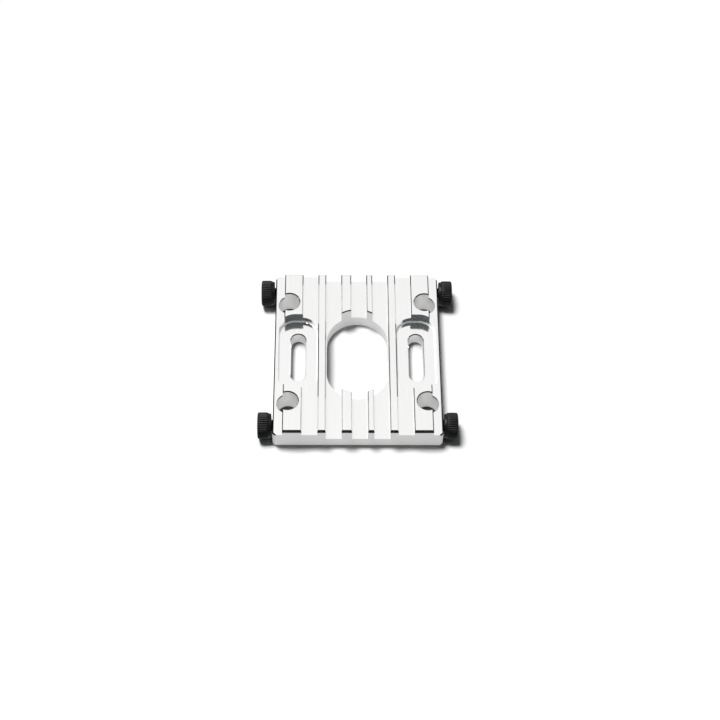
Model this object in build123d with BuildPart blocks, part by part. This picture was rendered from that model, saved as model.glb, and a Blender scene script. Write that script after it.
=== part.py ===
# Motor mount: a grooved plate that carries a motor between two upright side frames.
# Millimetres. X runs across the plate, Y along its grooves, Z up from the motor's seat.

from build123d import *
from math import sqrt
import os

os.makedirs("parts", exist_ok=True)

# Plate blank, as wide as the motor's two screws and the walls outside their pockets ask.
# Its length follows from the pockets, the corner holes and the side screws in a row.
motor_screw_pitch = 25.0
side_wall = 0.85
plate_thickness = 5.7
outline_chamfer = 0.45
corner_chamfer = 0.5

# Grooves and side steps milled along the whole top, counted from each side inwards.
# The middle groove leaves a narrow rib on its right and a wider one on its left.
side_step_width = 2.0
outer_rib_width = 3.95
inner_rib_width = 1.7
narrow_rib_width = 1.3
groove_width = 3.25
shallow_depth = 1.3
deep_depth = 2.8
edge_break = 0.2
side_edge_break = 0.25

# Oblong bore that clears the motor's boss while it slides to set the gear
bore_width = 12.9
bore_length = 20.8
bore_chamfer = 0.2

# Pockets that sink the motor screws' heads, each with a slot through its floor
pocket_width = 8.3
pocket_length = 18.5
pocket_corner_radius = 3.4
pocket_depth = 2.75
pocket_floor_fillet = 0.25
slot_width = 3.1
slot_length = 11.85
slot_chamfer = 0.18

# Plain holes near the corners, placed from the plate's sides and the pockets' ends
corner_hole_diameter = 4.35
corner_hole_inset_x = 3.0
pocket_to_hole = 1.075
corner_hole_chamfer = 0.2
corner_hole_step_chamfer = 0.16

# Cap screws in the side faces, M3 x 6, backed off a little from the plate
thread_diameter = 2.9
thread_length = 6.0
thread_clearance = 0.02
thread_tip_chamfer = 0.35
screw_axis_height = 2.8
hole_to_tap = 0.655
screw_inset_y = 3.2
head_gap = 0.3
head_diameter = 5.5
head_height = 2.8
head_edge_chamfer = 0.35
collar_diameter = 5.0
collar_height = 0.4
knurl_count = 34
knurl_depth = 0.16
hex_across_flats = 2.5
hex_depth = 1.3
tap_run_out = 0.4

# Levels and places worked out from the sizes above
plate_width = motor_screw_pitch + pocket_width + 2 * side_wall
shallow_groove_x = plate_width / 2 - side_step_width - outer_rib_width - groove_width / 2
deep_groove_x = shallow_groove_x - groove_width - inner_rib_width
middle_groove_x = deep_groove_x - groove_width - narrow_rib_width
shallow_level = plate_thickness - shallow_depth
pocket_floor = plate_thickness - pocket_depth
tap_diameter = thread_diameter + 2 * thread_clearance
tap_depth = thread_length - head_gap + tap_run_out
corner_hole_pitch_x = plate_width - 2 * corner_hole_inset_x
corner_hole_pitch_y = pocket_length + corner_hole_diameter + 2 * pocket_to_hole
screw_y = (corner_hole_pitch_y + corner_hole_diameter + tap_diameter) / 2 + hole_to_tap
plate_length = 2 * (screw_y + screw_inset_y)

# The five grooves from left to right, each as its centre and its depth
grooves = [
    (-shallow_groove_x, shallow_depth),
    (-deep_groove_x, deep_depth),
    (middle_groove_x, deep_depth),
    (deep_groove_x, deep_depth),
    (shallow_groove_x, shallow_depth),
]

# Where the side screws go, and how a cylinder stands on its plane
ends = {"rear": 1, "front": -1}
sides = {"left": -1, "right": 1}
from_base = (Align.CENTER, Align.CENTER, Align.MIN)


def rim_edges(part, radius, level):
    """Round edges of one radius that lie flat at one level."""
    rims = part.edges().filter_by(GeomType.CIRCLE)
    rims = rims.filter_by(lambda rim: abs(rim.radius - radius) < 1e-4)
    return rims.filter_by(lambda rim: abs(rim.center().Z - level) < 1e-4)


def side_plane(side, end, offset):
    """Plane square to a screw's axis, facing out, a given way out from the side face."""
    return Plane(
        origin=(side * (plate_width / 2 + offset), end * screw_y, screw_axis_height),
        x_dir=(0, side, 0),
        z_dir=(side, 0, 0),
    )


# Mount plate
top = Plane.XY.offset(plate_thickness)
with BuildPart() as mount_plate:
    # Blank, with its outline broken on both faces before any groove is cut
    with BuildSketch(Plane.XY) as blank:
        Rectangle(plate_width, plate_length)
    extrude(amount=plate_thickness)
    chamfer(mount_plate.edges().filter_by(Axis.Z), corner_chamfer)
    chamfer(mount_plate.faces().sort_by(Axis.Z)[0].edges(), outline_chamfer)
    chamfer(mount_plate.faces().sort_by(Axis.Z)[-1].edges(), outline_chamfer)

    # Bore, whose top rim is broken at full height and so only where a rib stays
    with BuildSketch(top) as bore:
        SlotOverall(bore_length, bore_width, rotation=90)
    extrude(amount=-plate_thickness, mode=Mode.SUBTRACT)
    bore_rim = mount_plate.faces().sort_by(Axis.Z)[-1].inner_wires()[0].edges()
    chamfer(bore_rim, bore_chamfer)

    # Grooves, cut along the whole length by one profile that also breaks their edges
    with BuildSketch(Plane.XZ) as groove_profile:
        for centre_x, depth in grooves:
            near_x = centre_x - groove_width / 2
            far_x = centre_x + groove_width / 2
            with BuildLine():
                Polyline(
                    (near_x - edge_break, plate_thickness),
                    (near_x, plate_thickness - edge_break),
                    (near_x, plate_thickness - depth),
                    (far_x, plate_thickness - depth),
                    (far_x, plate_thickness - edge_break),
                    (far_x + edge_break, plate_thickness),
                    close=True,
                )
            make_face()
    extrude(amount=plate_length / 2, both=True, mode=Mode.SUBTRACT)

    # Step along each long edge, its inner corner broken the same way
    with BuildSketch(Plane.XZ) as step_profile:
        for side in sides.values():
            outer_x = side * plate_width / 2
            inner_x = side * (plate_width / 2 - side_step_width)
            with BuildLine():
                Polyline(
                    (inner_x - side * edge_break, plate_thickness),
                    (inner_x, plate_thickness - edge_break),
                    (inner_x, shallow_level),
                    (outer_x, shallow_level),
                    (outer_x, plate_thickness),
                    close=True,
                )
            make_face()
    extrude(amount=plate_length / 2, both=True, mode=Mode.SUBTRACT)

    # The step's long outer edge and its two cut corners, broken a little more
    step_edges = mount_plate.edges().filter_by(GeomType.LINE)
    step_edges = step_edges.filter_by(lambda edge: abs(edge.center().Z - shallow_level) < 1e-4)
    step_edges = step_edges.filter_by(lambda edge: abs(edge.center().X) > plate_width / 2 - corner_chamfer)
    chamfer(step_edges, side_edge_break)

    # Screw-head pockets, with the cutter's small radius round the floor
    with BuildSketch(top) as pockets:
        with GridLocations(motor_screw_pitch, 0, 2, 1):
            RectangleRounded(pocket_width, pocket_length, pocket_corner_radius)
    extrude(amount=-pocket_depth, mode=Mode.SUBTRACT)
    floors = mount_plate.faces().filter_by(Plane.XY)
    floors = floors.filter_by(lambda face: abs(face.center().Z - pocket_floor) < 1e-4)
    fillet(floors.edges(), pocket_floor_fillet)

    # Slots through the pocket floors
    with BuildSketch(Plane.XY.offset(pocket_floor)) as slots:
        with GridLocations(motor_screw_pitch, 0, 2, 1):
            SlotOverall(slot_length, slot_width, rotation=90)
    extrude(amount=-pocket_floor, mode=Mode.SUBTRACT)
    floors = mount_plate.faces().filter_by(Plane.XY)
    floors = floors.filter_by(lambda face: abs(face.center().Z - pocket_floor) < 1e-4)
    for floor in floors:
        chamfer(floor.inner_wires()[0].edges(), slot_chamfer)

    # Corner holes, half in the outer rib and half in the step, their rims broken less there
    with Locations(top):
        with GridLocations(corner_hole_pitch_x, corner_hole_pitch_y, 2, 2):
            Hole(corner_hole_diameter / 2)
    rib_rims = rim_edges(mount_plate, corner_hole_diameter / 2, plate_thickness)
    chamfer(rib_rims, corner_hole_chamfer)
    step_rims = rim_edges(mount_plate, corner_hole_diameter / 2, shallow_level)
    chamfer(step_rims, corner_hole_step_chamfer)

    # Tapped holes in the side faces, a little deeper than the screws reach
    for side in sides.values():
        for end in ends.values():
            with Locations(side_plane(side, end, -tap_depth)):
                Cylinder(tap_diameter / 2, tap_depth, align=from_base, mode=Mode.SUBTRACT)

mount_plate.part.label = "mount_plate"
export_step(mount_plate.part, "parts/mount_plate.step")


# Side screws: socket heads with a plain collar below a straight knurl
thread_radius = thread_diameter / 2
head_radius = head_diameter / 2
collar_radius = collar_diameter / 2
knurl_start = collar_height + head_radius - collar_radius
knurl_length = head_height - head_edge_chamfer - knurl_start

for end_name, end in ends.items():
    for side_name, side in sides.items():
        bearing_face = side_plane(side, end, head_gap)
        knurl_foot = side_plane(side, end, head_gap + knurl_start)
        head_top = side_plane(side, end, head_gap + head_height)
        lengthwise = Plane(bearing_face.origin, x_dir=(side, 0, 0), z_dir=(0, -side, 0))

        with BuildPart() as side_screw:
            # Half section from the tip to the head, turned about the screw's axis
            with BuildSketch(lengthwise) as section:
                with BuildLine() as outline:
                    Polyline(
                        (-thread_length, 0),
                        (-thread_length, thread_radius - thread_tip_chamfer),
                        (-thread_length + thread_tip_chamfer, thread_radius),
                        (0, thread_radius),
                        (0, collar_radius),
                        (collar_height, collar_radius),
                        (knurl_start, head_radius),
                        (head_height - head_edge_chamfer, head_radius),
                        (head_height, head_radius - head_edge_chamfer),
                        (head_height, 0),
                        close=True,
                    )
                make_face()
            revolve(axis=Axis(bearing_face.origin, bearing_face.z_dir))

            # Knurl: a ring of straight notches between the collar and the edge chamfer
            with BuildSketch(knurl_foot) as knurl:
                with PolarLocations(head_radius, knurl_count):
                    Rectangle(knurl_depth * sqrt(2), knurl_depth * sqrt(2), rotation=45)
            extrude(amount=knurl_length, mode=Mode.SUBTRACT)

            # Hexagon socket
            with BuildSketch(head_top) as socket:
                RegularPolygon(hex_across_flats / 2, 6, major_radius=False)
            extrude(amount=-hex_depth, mode=Mode.SUBTRACT)

        name = f"side_screw_{end_name}_{side_name}"
        side_screw.part.label = name
        export_step(side_screw.part, f"parts/{name}.step")
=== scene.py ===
import math

import bpy
from mathutils import Matrix, Vector


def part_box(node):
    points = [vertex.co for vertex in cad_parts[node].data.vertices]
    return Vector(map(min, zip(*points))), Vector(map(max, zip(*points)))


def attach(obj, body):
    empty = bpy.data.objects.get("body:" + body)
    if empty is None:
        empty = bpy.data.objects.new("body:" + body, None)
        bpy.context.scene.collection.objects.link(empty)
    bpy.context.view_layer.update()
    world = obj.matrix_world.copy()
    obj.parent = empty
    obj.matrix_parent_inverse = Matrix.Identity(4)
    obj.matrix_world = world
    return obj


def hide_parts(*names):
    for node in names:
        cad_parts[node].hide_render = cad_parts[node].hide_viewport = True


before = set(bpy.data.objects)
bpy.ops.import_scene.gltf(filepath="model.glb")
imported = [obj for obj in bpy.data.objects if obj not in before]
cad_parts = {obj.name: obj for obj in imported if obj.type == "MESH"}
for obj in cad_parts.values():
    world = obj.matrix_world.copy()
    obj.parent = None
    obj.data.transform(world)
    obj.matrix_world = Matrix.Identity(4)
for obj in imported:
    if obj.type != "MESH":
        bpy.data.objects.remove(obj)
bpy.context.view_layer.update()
MM = 0.001

# Mount plate

# One block of bright aluminium, milled from bar: grooves and side steps run the whole
# length, so the light catches fine cutter lines along Y on every face that looks up.
# The side faces are cut with the flank of the cutter and look a little duller.

# How matt each kind of face is, from its smoothest streak to its dullest
flat_roughness = (0.1, 0.14)
wall_roughness = (0.44, 0.56)
pocket_roughness = 0.12
fillet_roughness = 0.7
dull_streak = (0.895, 0.89, 0.885, 1)
bright_streak = (0.925, 0.922, 0.918, 1)
streak_depth = 0.01 * MM

# How close the cutter lines lie along X, Y and Z: drawn out along Y on flats, Z on walls
lines_on_flats = (1.0, 0.03, 1.0)
lines_on_walls = (1.2, 1.2, 0.08)

# Boxes in mm round the right pocket's floor, its walls and the small radius between them,
# which the left pocket mirrors
floor_of_pocket = {"Centre": (12.5, 0.0, 3.1), "Half size": (4.25, 9.4, 0.45)}
walls_of_pocket = {"Centre": (12.5, 0.0, 4.4), "Half size": (4.25, 9.4, 1.6)}
fillet_of_pocket = {"Centre": (12.5, 0.0, 3.1), "Half size": (4.2, 9.3, 0.149)}


def add_node(tree, kind, where, **settings):
    """A shader node with its settings and, under "inputs", values for its sockets."""
    node = tree.nodes.new(kind)
    node.location = where
    inputs = settings.pop("inputs", {})
    for name, value in settings.items():
        setattr(node, name, value)
    for name, value in inputs.items():
        node.inputs[name].default_value = value
    return node


def new_group(name, inputs, outputs):
    """An empty shader node group with float or vector sockets, and its two end nodes."""
    group = bpy.data.node_groups.new(name, "ShaderNodeTree")
    for label, kind, value in inputs:
        socket = group.interface.new_socket(label, in_out="INPUT", socket_type=kind)
        if value is not None:
            socket.default_value = value
    for label, kind in outputs:
        group.interface.new_socket(label, in_out="OUTPUT", socket_type=kind)
    start = add_node(group, "NodeGroupInput", (-1400, 0))
    end = add_node(group, "NodeGroupOutput", (600, 0))
    return group, start, end


def in_mm(tree, position, where):
    """A position in metres turned into mm."""
    node = add_node(
        tree, "ShaderNodeVectorMath", where, operation="SCALE", inputs={"Scale": 1000.0}
    )
    tree.links.new(position, node.inputs[0])
    return node.outputs[0]


def cutter_lines_group():
    """Streaks left by a cutter: noise stretched along one axis, coarse and fine."""
    group, start, end = new_group(
        "cutter_lines",
        [
            ("Position", "NodeSocketVector", None),
            ("Lines per mm", "NodeSocketVector", (1.0, 1.0, 1.0)),
        ],
        [("Fine", "NodeSocketFloat"), ("Broad", "NodeSocketFloat")],
    )
    links = group.links
    stretch = add_node(group, "ShaderNodeVectorMath", (-1000, 0), operation="MULTIPLY")
    fine = add_node(
        group, "ShaderNodeTexNoise", (-700, 150),
        inputs={"Scale": 6.0, "Detail": 3.0, "Roughness": 0.6},
    )
    broad = add_node(
        group, "ShaderNodeTexNoise", (-700, -200),
        inputs={"Scale": 1.1, "Detail": 2.0, "Roughness": 0.5},
    )
    links.new(in_mm(group, start.outputs["Position"], (-1200, 0)), stretch.inputs[0])
    links.new(start.outputs["Lines per mm"], stretch.inputs[1])
    links.new(stretch.outputs[0], fine.inputs["Vector"])
    links.new(stretch.outputs[0], broad.inputs["Vector"])
    links.new(fine.outputs["Fac"], end.inputs["Fine"])
    links.new(broad.outputs["Fac"], end.inputs["Broad"])
    return group


def combine(tree, operation, a, b, where):
    """Two masks joined by one arithmetic step."""
    node = add_node(tree, "ShaderNodeMath", where, operation=operation)
    tree.links.new(a, node.inputs[0])
    tree.links.new(b, node.inputs[1])
    return node.outputs[0]


def pocket_zone_group():
    """1 inside a box given by its centre and half size in mm, mirrored across x = 0."""
    group, start, end = new_group(
        "pocket_zone",
        [
            ("Position", "NodeSocketVector", None),
            ("Centre", "NodeSocketVector", (0.0, 0.0, 0.0)),
            ("Half size", "NodeSocketVector", (1.0, 1.0, 1.0)),
        ],
        [("Mask", "NodeSocketFloat")],
    )
    links = group.links
    split = add_node(group, "ShaderNodeSeparateXYZ", (-1000, 0))
    across = add_node(group, "ShaderNodeMath", (-800, 150), operation="ABSOLUTE")
    joined = add_node(group, "ShaderNodeCombineXYZ", (-600, 0))
    offset = add_node(group, "ShaderNodeVectorMath", (-450, 0), operation="SUBTRACT")
    away = add_node(group, "ShaderNodeVectorMath", (-300, 0), operation="ABSOLUTE")
    past = add_node(group, "ShaderNodeVectorMath", (-150, 0), operation="SUBTRACT")
    sides = add_node(group, "ShaderNodeSeparateXYZ", (0, 0))
    inside = add_node(group, "ShaderNodeMath", (450, 0), operation="LESS_THAN")
    inside.inputs[1].default_value = 0.0
    links.new(in_mm(group, start.outputs["Position"], (-1200, 0)), split.inputs[0])
    links.new(split.outputs["X"], across.inputs[0])
    links.new(across.outputs[0], joined.inputs["X"])
    links.new(split.outputs["Y"], joined.inputs["Y"])
    links.new(split.outputs["Z"], joined.inputs["Z"])
    links.new(joined.outputs[0], offset.inputs[0])
    links.new(start.outputs["Centre"], offset.inputs[1])
    links.new(offset.outputs[0], away.inputs[0])
    links.new(away.outputs[0], past.inputs[0])
    links.new(start.outputs["Half size"], past.inputs[1])
    links.new(past.outputs[0], sides.inputs[0])
    plan = combine(group, "MAXIMUM", sides.outputs["X"], sides.outputs["Y"], (150, 100))
    furthest = combine(group, "MAXIMUM", plan, sides.outputs["Z"], (300, 0))
    links.new(furthest, inside.inputs[0])
    links.new(inside.outputs[0], end.inputs["Mask"])
    return group


def scale_value(tree, source, low, high, where):
    """Stretches a mask from 0..1 to low..high."""
    node = add_node(
        tree, "ShaderNodeMapRange", where,
        inputs={"From Min": 0.0, "From Max": 1.0, "To Min": low, "To Max": high},
    )
    tree.links.new(source, node.inputs["Value"])
    return node.outputs["Result"]


def ramp(tree, source, start, stop, low, high, where):
    """low before start and high after stop, with a soft step between."""
    node = add_node(
        tree, "ShaderNodeMapRange", where, interpolation_type="SMOOTHSTEP",
        inputs={"From Min": start, "From Max": stop, "To Min": low, "To Max": high},
    )
    tree.links.new(source, node.inputs["Value"])
    return node.outputs["Result"]


def mix_value(tree, factor, a, b, where):
    """a where the factor is 0 and b where it is 1."""
    node = add_node(tree, "ShaderNodeMix", where, data_type="FLOAT")
    tree.links.new(factor, node.inputs["Factor"])
    numbers = {s.name: s for s in node.inputs if s.type == "VALUE" and s.enabled}
    for name, source in (("A", a), ("B", b)):
        if isinstance(source, (int, float)):
            numbers[name].default_value = source
        else:
            tree.links.new(source, numbers[name])
    return next(s for s in node.outputs if s.type == "VALUE")


cutter_lines = cutter_lines_group()
pocket_zone = pocket_zone_group()

plate_finish = bpy.data.materials.new("milled_aluminium")
plate_finish.use_nodes = True
tree = plate_finish.node_tree
links = tree.links
shader = tree.nodes["Principled BSDF"]
shader.inputs["Metallic"].default_value = 1.0
place = add_node(tree, "ShaderNodeTexCoord", (-1900, 0))

# Faces that look up or down are the flats, the rest are walls
facing = add_node(tree, "ShaderNodeSeparateXYZ", (-1700, 400))
links.new(place.outputs["Normal"], facing.inputs[0])
level = add_node(tree, "ShaderNodeMath", (-1500, 400), operation="ABSOLUTE")
links.new(facing.outputs["Z"], level.inputs[0])
on_flat = ramp(tree, level.outputs[0], 0.45, 0.6, 0.0, 1.0, (-1300, 400))

zones = []
for height, box in ((650, floor_of_pocket), (900, walls_of_pocket), (1150, fillet_of_pocket)):
    zone = add_node(
        tree, "ShaderNodeGroup", (-1300, height), node_tree=pocket_zone, inputs=box
    )
    links.new(place.outputs["Object"], zone.inputs["Position"])
    zones.append(zone.outputs["Mask"])
in_floor, in_walls, in_fillet = zones
in_walls = mix_value(tree, on_flat, in_walls, 0.0, (-1100, 900))
in_pocket = combine(tree, "MAXIMUM", in_floor, in_walls, (-900, 800))

streaks = []
for height, spacing in ((0, lines_on_flats), (-300, lines_on_walls)):
    lines = add_node(
        tree, "ShaderNodeGroup", (-1500, height), node_tree=cutter_lines,
        inputs={"Lines per mm": spacing},
    )
    links.new(place.outputs["Object"], lines.inputs["Position"])
    streaks.append(lines.outputs)
flat_lines, wall_lines = streaks
fine = mix_value(tree, on_flat, wall_lines["Fine"], flat_lines["Fine"], (-1100, 0))
broad = mix_value(tree, on_flat, wall_lines["Broad"], flat_lines["Broad"], (-1100, -300))

flat_rough = scale_value(tree, broad, *flat_roughness, (-850, -250))
wall_rough = scale_value(tree, broad, *wall_roughness, (-850, -500))
rough = mix_value(tree, on_flat, wall_rough, flat_rough, (-600, -300))
rough = mix_value(tree, in_pocket, rough, pocket_roughness, (-400, -300))
rough = mix_value(tree, in_fillet, rough, fillet_roughness, (-250, -300))
links.new(rough, shader.inputs["Roughness"])
tone = add_node(tree, "ShaderNodeValToRGB", (-450, 200))
tone.color_ramp.elements[0].position = 0.3
tone.color_ramp.elements[0].color = dull_streak
tone.color_ramp.elements[1].position = 0.7
tone.color_ramp.elements[1].color = bright_streak
links.new(fine, tone.inputs["Fac"])
links.new(tone.outputs["Color"], shader.inputs["Base Color"])
bump = add_node(
    tree, "ShaderNodeBump", (-250, -500), inputs={"Strength": 0.1, "Distance": streak_depth}
)
links.new(fine, bump.inputs["Height"])
links.new(bump.outputs["Normal"], shader.inputs["Normal"])

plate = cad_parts["mount_plate"]
plate.data.materials.clear()
plate.data.materials.append(plate_finish)


# Side screws

# Four M3 socket cap screws, black oxide on steel, that clamp the side frames. Each has a
# plain collar, a straight knurl and a hexagon socket, and is backed off a little.

# Sizes in mm: the head and its crown, and the hexagon socket with its broken mouth
head_height = 2.8
head_radius = 2.75
crown_radius = 0.35
socket_flat = 1.25
socket_depth = 1.3
socket_break = 0.1
socket_break_depth = 0.08

# Angles in degrees: half the point of the socket's pilot drill, and what counts as sharp
drill_point = 59
sharp_edge = 32

# The collar from its rounded foot to the first of the knurl, as distance and radius
collar_radius = 2.5
collar_profile = (
    (0.0, collar_radius - 0.08),
    (0.025, collar_radius - 0.025),
    (0.08, collar_radius),
    (0.38, collar_radius),
    (0.42, collar_radius + 0.02),
)

# One ridge of the knurl round the head, as shares of the notch's depth, and the way the
# head swells from the collar to its full radius
knurl_count = 34
knurl_depth = 0.13
ridge_shape = (1.0, 0.42, 0.04, 0.0, 0.04, 0.42)
knurl_swell = ((0.5, 0.38), (0.62, 0.72), (0.8, 0.88), (1.1, 0.96), (1.5, 1.0), (2.0, 1.0))
shoulder_swell = 0.95
crown_steps = 7
head_points = knurl_count * len(ridge_shape)

# M3 coarse thread, which fades into its core under the head and ends in a bevelled tip
thread_length = 6.0
thread_radius = 1.45
thread_pitch = 0.5
thread_depth = 0.3
crest_share = 1.18
flank_slope = 2.6
core_radius = 1.16
tip_radius = 1.08
run_out_start = 0.1
run_out_length = 0.3
rings_per_turn = 8
thread_points = head_points // 4


def thread_at(s, angle):
    """Radius of a right-hand 60 degree thread, flat at its crests and its roots."""
    phase = (s / thread_pitch + angle / (2 * math.pi)) % 1.0
    height = min(1.0, max(0.0, crest_share - flank_slope * abs(phase - 0.5)))
    return thread_radius - thread_depth * (1 - height)


def socket_side(angle):
    """Distance from the axis to the socket's hexagon."""
    sixth = math.pi / 3
    return socket_flat / math.cos((angle % sixth) - sixth / 2)


def head_ring(s, radius):
    """A ring of the head, cut back where the knurl's notches are deeper."""
    notches = [knurl_depth * ridge_shape[j % len(ridge_shape)] for j in range(head_points)]
    return s, [min(radius, head_radius - notch) for notch in notches]


def screw_rings():
    """Every ring of the screw from its tip to the socket's bottom, as (x, radii)."""
    rings = []
    for k in range(int(thread_length / thread_pitch) * rings_per_turn + 1):
        s = -thread_length + k * thread_pitch / rings_per_turn
        run_out = min(1.0, max(0.0, (-s - run_out_start) / run_out_length))
        radii = []
        for j in range(thread_points):
            r = thread_at(s, 2 * math.pi * j / thread_points)
            r = core_radius + (r - core_radius) * run_out
            radii.append(min(r, tip_radius + (s + thread_length)))
        rings.append((s, radii))
    for s, r in collar_profile:
        rings.append((s, [r] * head_points))
    knurl_top = head_height - crown_radius
    for s, swell in (*knurl_swell, (knurl_top, shoulder_swell)):
        rings.append(head_ring(s, collar_radius + (head_radius - collar_radius) * swell))
    shoulder = collar_radius + (head_radius - collar_radius) * shoulder_swell
    for k in range(1, crown_steps + 1):
        a = math.pi / 2 * k / crown_steps
        full = shoulder - crown_radius + crown_radius * math.cos(a)
        rings.append(head_ring(knurl_top + crown_radius * math.sin(a), full))
    hexagon = [socket_side(2 * math.pi * j / head_points) for j in range(head_points)]
    rings.append((head_height, [side + socket_break for side in hexagon]))
    rings.append((head_height - socket_break_depth, hexagon))
    rings.append((head_height - socket_depth, hexagon))
    rings.append((head_height - socket_depth, [socket_flat] * head_points))
    return rings


def screw_mesh(turn):
    """One closed screw along +X, x = 0 under its head, turned on its axis by some degrees."""
    points, faces, starts = [], [], []
    for s, radii in screw_rings():
        starts.append((len(points), len(radii)))
        for j, r in enumerate(radii):
            a = 2 * math.pi * j / len(radii) + math.radians(turn)
            points.append((s * MM, r * math.cos(a) * MM, r * math.sin(a) * MM))
    for (p, n), (q, m) in zip(starts, starts[1:]):
        for j in range(n):
            if m == n:
                faces.append((p + j, p + (j + 1) % n, q + (j + 1) % n, q + j))
            else:
                step = m // n
                edge = [q + (j * step + i) % m for i in range(step + 1)]
                faces.append((p + j, p + (j + 1) % n, *reversed(edge)))
    tip = len(points)
    points.append((-thread_length * MM, 0, 0))
    faces += [(tip, (j + 1) % thread_points, j) for j in range(thread_points)]
    bottom = len(points)
    depth = socket_depth + socket_flat / math.tan(math.radians(drill_point))
    points.append(((head_height - depth) * MM, 0, 0))
    q, m = starts[-1]
    faces += [(bottom, q + j, q + (j + 1) % m) for j in range(m)]
    mesh = bpy.data.meshes.new("cap_screw")
    mesh.from_pydata(points, [], faces)
    mesh.flip_normals()
    mesh.shade_smooth()
    mesh.set_sharp_from_angle(angle=math.radians(sharp_edge))
    return mesh


# Black oxide: nearly black, a little uneven in tone and in gloss
screw_finish = bpy.data.materials.new("black_oxide_steel")
screw_finish.use_nodes = True
tree = screw_finish.node_tree
links = tree.links
shader = tree.nodes["Principled BSDF"]
shader.inputs["Metallic"].default_value = 0.85
place = add_node(tree, "ShaderNodeTexCoord", (-1200, 0))
mottle = add_node(
    tree, "ShaderNodeTexNoise", (-900, 100),
    inputs={"Scale": 900.0, "Detail": 4.0, "Roughness": 0.6},
)
links.new(place.outputs["Object"], mottle.inputs["Vector"])
tone = add_node(tree, "ShaderNodeValToRGB", (-600, 200))
tone.color_ramp.elements[0].position = 0.3
tone.color_ramp.elements[0].color = (0.009, 0.009, 0.0095, 1)
tone.color_ramp.elements[1].position = 0.75
tone.color_ramp.elements[1].color = (0.02, 0.02, 0.021, 1)
links.new(mottle.outputs["Fac"], tone.inputs["Fac"])
links.new(tone.outputs["Color"], shader.inputs["Base Color"])
rough = scale_value(tree, mottle.outputs["Fac"], 0.34, 0.5, (-600, -100))
links.new(rough, shader.inputs["Roughness"])
bump = add_node(
    tree, "ShaderNodeBump", (-300, -300), inputs={"Strength": 0.1, "Distance": 0.01 * MM}
)
links.new(mottle.outputs["Fac"], bump.inputs["Height"])
links.new(bump.outputs["Normal"], shader.inputs["Normal"])

# Each screw stands under its head in its own hole, at the turn where it was left, in degrees
screw_turn = {"front_left": 12, "front_right": 41, "rear_left": 27, "rear_right": 3}
for corner, turn in screw_turn.items():
    node = "side_screw_" + corner
    low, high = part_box(node)
    right = corner.endswith("right")
    under_head = high.x - head_height * MM if right else low.x + head_height * MM
    centre = (low + high) / 2
    screw_shape = screw_mesh(turn)
    screw_shape.materials.append(screw_finish)
    screw = bpy.data.objects.new("cap_screw_" + corner, screw_shape)
    bpy.context.collection.objects.link(screw)
    about_z = Matrix.Rotation(0 if right else math.pi, 4, "Z")
    screw.matrix_world = Matrix.Translation((under_head, centre.y, centre.z)) @ about_z
    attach(screw, "root")
    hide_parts(node)


# Floor and light

# A white table under one large soft lamp, nearly overhead and a little to the rear left.
# The near side of the room is dark, which is what blackens the front bevels.

table_radius = 160 * MM
table_drop = 0.02 * MM
rim_points = 96

# Painted reflection: the polished faces mirror the table in a painted shade and glow that
# only mirrored rays see, falling off from its middle to its far end; how far out that
# reaches, and the shade and glow, from far end to middle
near_table = 35 * MM
far_table = 60 * MM
painted_table_shades = (0.02, 0.25)
painted_table_glows = (0.0, 0.46)

rim = [2 * math.pi * k / rim_points for k in range(rim_points)]
table_rim = [(table_radius * math.cos(a), table_radius * math.sin(a), 0) for a in rim]
floor_mesh = bpy.data.meshes.new("table")
floor_mesh.from_pydata(table_rim, [], [tuple(range(rim_points))])
floor = bpy.data.objects.new("table", floor_mesh)
floor.location.z = -table_drop
bpy.context.collection.objects.link(floor)
paper = bpy.data.materials.new("white_table")
paper.use_nodes = True
tree = paper.node_tree
shader = tree.nodes["Principled BSDF"]
path = add_node(tree, "ShaderNodeLightPath", (-700, 200))
first_bounce = add_node(tree, "ShaderNodeMath", (-700, -150), operation="LESS_THAN")
first_bounce.inputs[1].default_value = 0.5
tree.links.new(path.outputs["Diffuse Depth"], first_bounce.inputs[0])
mirrored = combine(
    tree, "MULTIPLY", path.outputs["Is Glossy Ray"], first_bounce.outputs[0], (-600, 0)
)

# Painted shade: the table's colour is darkened where ambient occlusion finds it closed in, so
# it stays dark at the foot of the narrow holes
open_sky = add_node(
    tree, "ShaderNodeAmbientOcclusion", (-1100, 400), samples=16,
    inputs={"Distance": 20 * MM},
)
painted_hole_shade = ramp(tree, open_sky.outputs["AO"], 0.12, 0.42, 0.16, 0.92, (-900, 400))

# Painted reflection: the table's mirrored shade and glow fade towards its far end, so edges
# that face sideways mirror a dark table
spot = add_node(tree, "ShaderNodeTexCoord", (-1500, 0))
reach = add_node(tree, "ShaderNodeVectorMath", (-1300, 0), operation="LENGTH")
tree.links.new(spot.outputs["Object"], reach.inputs[0])
near = ramp(tree, reach.outputs["Value"], near_table, far_table, 1.0, 0.0, (-1100, 0))
table_shade_painted = scale_value(tree, near, *painted_table_shades, (-900, 100))
table_glow_painted = scale_value(tree, near, *painted_table_glows, (-900, -100))
shade = mix_value(tree, mirrored, painted_hole_shade, table_shade_painted, (-500, 200))
glow = mix_value(tree, mirrored, 0.0, table_glow_painted, (-500, -100))
grey = add_node(tree, "ShaderNodeCombineColor", (-250, 200))
for channel in ("Red", "Green", "Blue"):
    tree.links.new(shade, grey.inputs[channel])
tree.links.new(grey.outputs[0], shader.inputs["Base Color"])
shader.inputs["Emission Color"].default_value = (1, 1, 1, 1)
tree.links.new(glow, shader.inputs["Emission Strength"])
shader.inputs["Roughness"].default_value = 0.9
shader.inputs["Specular IOR Level"].default_value = 0.0
floor_mesh.materials.append(paper)

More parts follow.
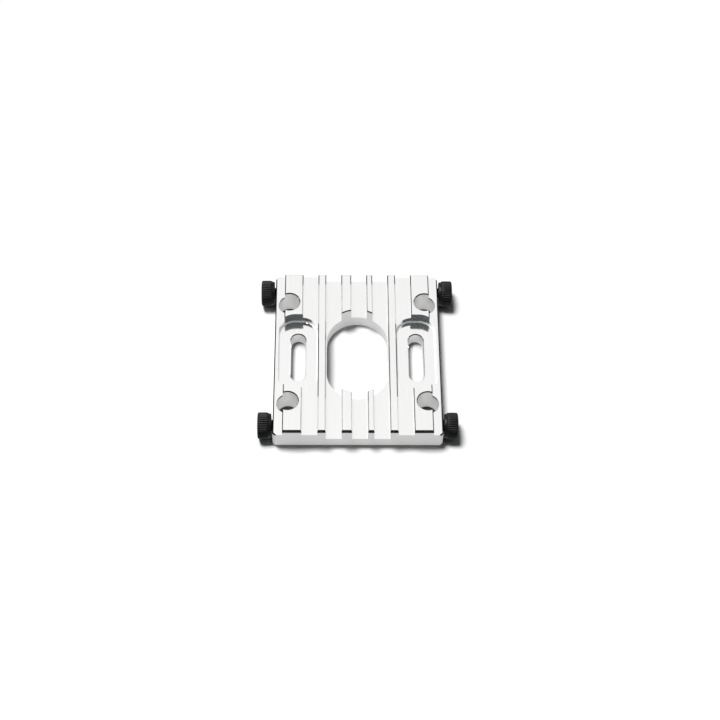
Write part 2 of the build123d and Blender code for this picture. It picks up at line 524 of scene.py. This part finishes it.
# One soft lamp, its spread and its tilt to the left and to the back in degrees
lamp_strength = 3.45
lamp_spread = 19
tilt_left = 14
tilt_back = 13
lamp = bpy.data.lights.new("overhead_lamp", "SUN")
lamp.energy = lamp_strength
lamp.angle = math.radians(lamp_spread)
lamp_object = bpy.data.objects.new("overhead_lamp", lamp)
bpy.context.collection.objects.link(lamp_object)
sideways = -math.tan(math.radians(tilt_left))
backwards = math.tan(math.radians(tilt_back))
lamp_object.rotation_mode = "QUATERNION"
towards_lamp = Vector((sideways, backwards, 1)).normalized()
lamp_object.rotation_quaternion = towards_lamp.to_track_quat("Z", "Y")

# The room: a pale dome above a dark horizon, with two dark bands on its near side, a low
# one for the front bevels and a high one for the far walls of the pockets
bounce_light = 0.06
slate_tint = (0.82, 1, 1.03, 1)
world = bpy.data.worlds.new("studio")
bpy.context.scene.world = world
world.use_nodes = True
world.cycles.sampling_method = "NONE"
tree = world.node_tree
links = tree.links
background = tree.nodes["Background"]
place = add_node(tree, "ShaderNodeTexCoord", (-1400, 0))
heading = add_node(tree, "ShaderNodeSeparateXYZ", (-1200, -300))
links.new(place.outputs["Generated"], heading.inputs[0])
upward = heading.outputs["Z"]
rearward = heading.outputs["Y"]
dome = ramp(tree, upward, 0.1, 0.4, 0.02, 0.97, (-1000, -300))

tilted = add_node(tree, "ShaderNodeVectorMath", (-1200, 0), operation="DOT_PRODUCT")
tilted.inputs[1].default_value = (0, 0.42, 1)
links.new(place.outputs["Generated"], tilted.inputs[0])
low_start = ramp(tree, tilted.outputs["Value"], 0.0, 0.08, 0, 1, (-1000, 100))
low_end = ramp(tree, tilted.outputs["Value"], 0.34, 0.42, 1, 0, (-1000, -100))
low_side = ramp(tree, rearward, -0.15, 0.25, 1, 0, (-1000, -200))
low_band = combine(tree, "MULTIPLY", low_start, low_end, (-800, 0))
low_band = combine(tree, "MULTIPLY", low_band, low_side, (-650, 0))

high_start = ramp(tree, upward, 0.64, 0.72, 0, 1, (-1000, -500))
high_end = ramp(tree, upward, 0.91, 0.95, 1, 0, (-1000, -700))
high_side = ramp(tree, rearward, -0.18, -0.02, 1, 0, (-1000, -900))
high_band = combine(tree, "MULTIPLY", high_start, high_end, (-800, -600))
high_band = combine(tree, "MULTIPLY", high_band, high_side, (-650, -700))

dark = combine(tree, "MAXIMUM", low_band, high_band, (-500, -300))
gloom = ramp(tree, upward, 0.55, 0.8, 0.006, 0.085, (-1000, -1100))
path = add_node(tree, "ShaderNodeLightPath", (-1000, 400))
camera_ray = path.outputs["Is Camera Ray"]
seen = mix_value(tree, dark, dome, gloom, (-850, 100))
bounced = add_node(tree, "ShaderNodeMath", (-850, 400), operation="GREATER_THAN")
bounced.inputs[1].default_value = 0.5
links.new(path.outputs["Diffuse Depth"], bounced.inputs[0])
seen = mix_value(tree, bounced.outputs[0], seen, bounce_light, (-650, 100))
seen = mix_value(tree, camera_ray, seen, 1.0, (-450, 100))
links.new(seen, background.inputs["Strength"])
slate = add_node(tree, "ShaderNodeMix", (-250, -200), data_type="RGBA")
white, cool = (socket for socket in slate.inputs if socket.type == "RGBA")
white.default_value = (1, 1, 1, 1)
cool.default_value = slate_tint
in_band = mix_value(tree, camera_ray, dark, 0.0, (-450, -200))
links.new(in_band, slate.inputs["Factor"])
tinted = next(socket for socket in slate.outputs if socket.type == "RGBA")
links.new(tinted, background.inputs["Color"])


# Camera

# Close to the photograph: from the front and well above, a long lens on a small part.

elevation, yaw, roll = math.radians(56.427), math.radians(-1.879), math.radians(1.714)
target = Vector((0.566, -1.296, 3.943)) * MM
distance = 334.04 * MM
back = Vector(
    (
        math.sin(yaw) * math.cos(elevation),
        -math.cos(yaw) * math.cos(elevation),
        math.sin(elevation),
    )
)
right = Vector((math.cos(yaw), math.sin(yaw), 0))
up = back.cross(right)
rolled_right = right * math.cos(roll) + up * math.sin(roll)
rolled_up = up * math.cos(roll) - right * math.sin(roll)
camera = bpy.data.cameras.new("camera")
camera.sensor_width = 36
camera.lens = 79.24
camera.clip_start = 0.01
camera_object = bpy.data.objects.new("camera", camera)
bpy.context.collection.objects.link(camera_object)
turn = Matrix((rolled_right, rolled_up, back)).transposed()
camera_object.matrix_world = Matrix.Translation(target + back * distance) @ turn.to_4x4()
bpy.context.scene.camera = camera_object
bpy.context.scene.view_settings.view_transform = "Standard"
